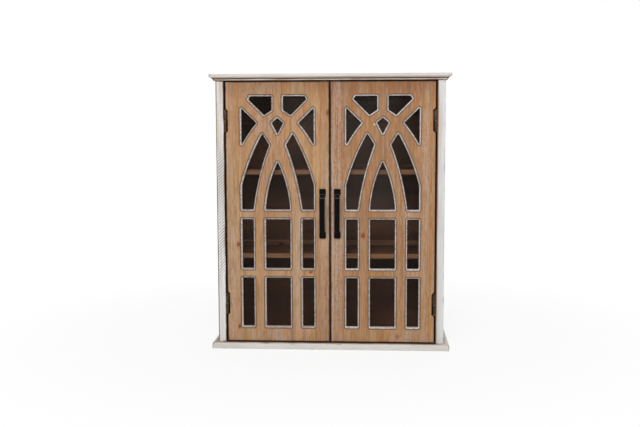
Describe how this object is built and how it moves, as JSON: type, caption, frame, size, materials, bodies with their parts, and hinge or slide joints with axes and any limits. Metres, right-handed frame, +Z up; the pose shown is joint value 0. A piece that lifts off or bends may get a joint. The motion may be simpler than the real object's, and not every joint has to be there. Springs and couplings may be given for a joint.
{
  "type": "wall cabinet",
  "caption": "Wooden wall cabinet with a coved crown, shelves and a pair of inset glazed doors pierced with intersecting arched tracery, on lift-off hinges with bar pulls.",
  "frame": {"origin": "on the wall plane, at the middle of the underside of the base board", "axes": "+X to the right seen from the front, +Y into the wall, +Z up; the doors look towards -Y"},
  "size_m": [0.6, 0.222, 0.693],
  "materials": {
    "painted_board": "worn off-white paint",
    "door_pine": "brushed, limed softwood",
    "stained_board": "dark brown stain",
    "stained_ply": "dark brown stain",
    "clear_glass": "clear, polished",
    "black_iron": "satin black",
    "hinge_bronze": "dark antique bronze",
    "washer_brass": "dull brass",
    "bright_steel": "zinc plated",
    "brown_plastic": "matte moulded",
    "magnet_black": "sintered ferrite"
  },
  "bodies": {
    "case": {"base_board": "painted_board", "crown_board": "painted_board", "side_panel_left": "painted_board", "side_panel_right": "painted_board", "back_panel": "stained_ply", "hanging_rail": "stained_board", "upper_shelf": "stained_board", "lower_shelf": "stained_board", "shelf_pins": "bright_steel", "crown_screws": "bright_steel", "base_screws": "bright_steel", "back_screws": "bright_steel", "catch_screws": "bright_steel", "catch_housing": "brown_plastic", "catch_magnets": "magnet_black", "case_hinge_screws": "hinge_bronze", "hinge_washers": "washer_brass", "left_upper_case_leaf": "hinge_bronze", "left_upper_hinge_pin": "hinge_bronze", "left_lower_case_leaf": "hinge_bronze", "left_lower_hinge_pin": "hinge_bronze", "right_upper_case_leaf": "hinge_bronze", "right_upper_hinge_pin": "hinge_bronze", "right_lower_case_leaf": "hinge_bronze", "right_lower_hinge_pin": "hinge_bronze"},
    "left_door": {"left_door_panel": "door_pine", "left_door_glass": "clear_glass", "left_top_bead": "stained_board", "left_bottom_bead": "stained_board", "left_pull_side_bead": "stained_board", "left_hinge_side_bead": "stained_board", "left_pull_handle": "black_iron", "left_pull_screws": "bright_steel", "left_upper_door_leaf": "hinge_bronze", "left_lower_door_leaf": "hinge_bronze", "left_door_hinge_screws": "hinge_bronze", "left_strike_plate": "bright_steel", "left_strike_screw": "bright_steel"},
    "right_door": {"right_door_panel": "door_pine", "right_door_glass": "clear_glass", "right_top_bead": "stained_board", "right_bottom_bead": "stained_board", "right_pull_side_bead": "stained_board", "right_hinge_side_bead": "stained_board", "right_pull_handle": "black_iron", "right_pull_screws": "bright_steel", "right_upper_door_leaf": "hinge_bronze", "right_lower_door_leaf": "hinge_bronze", "right_door_hinge_screws": "hinge_bronze", "right_strike_plate": "bright_steel", "right_strike_screw": "bright_steel"}
  },
  "joints": [
    {"name": "left_door_hinge", "type": "hinge", "parent": "case", "child": "left_door", "pos_m": [-0.2622, -0.196, 0.346], "axis": [0, 0, -1], "range_deg": [0, 175]},
    {"name": "right_door_hinge", "type": "hinge", "parent": "case", "child": "right_door", "pos_m": [0.2622, -0.196, 0.346], "axis": [0, 0, 1], "range_deg": [0, 175]}
  ]
}
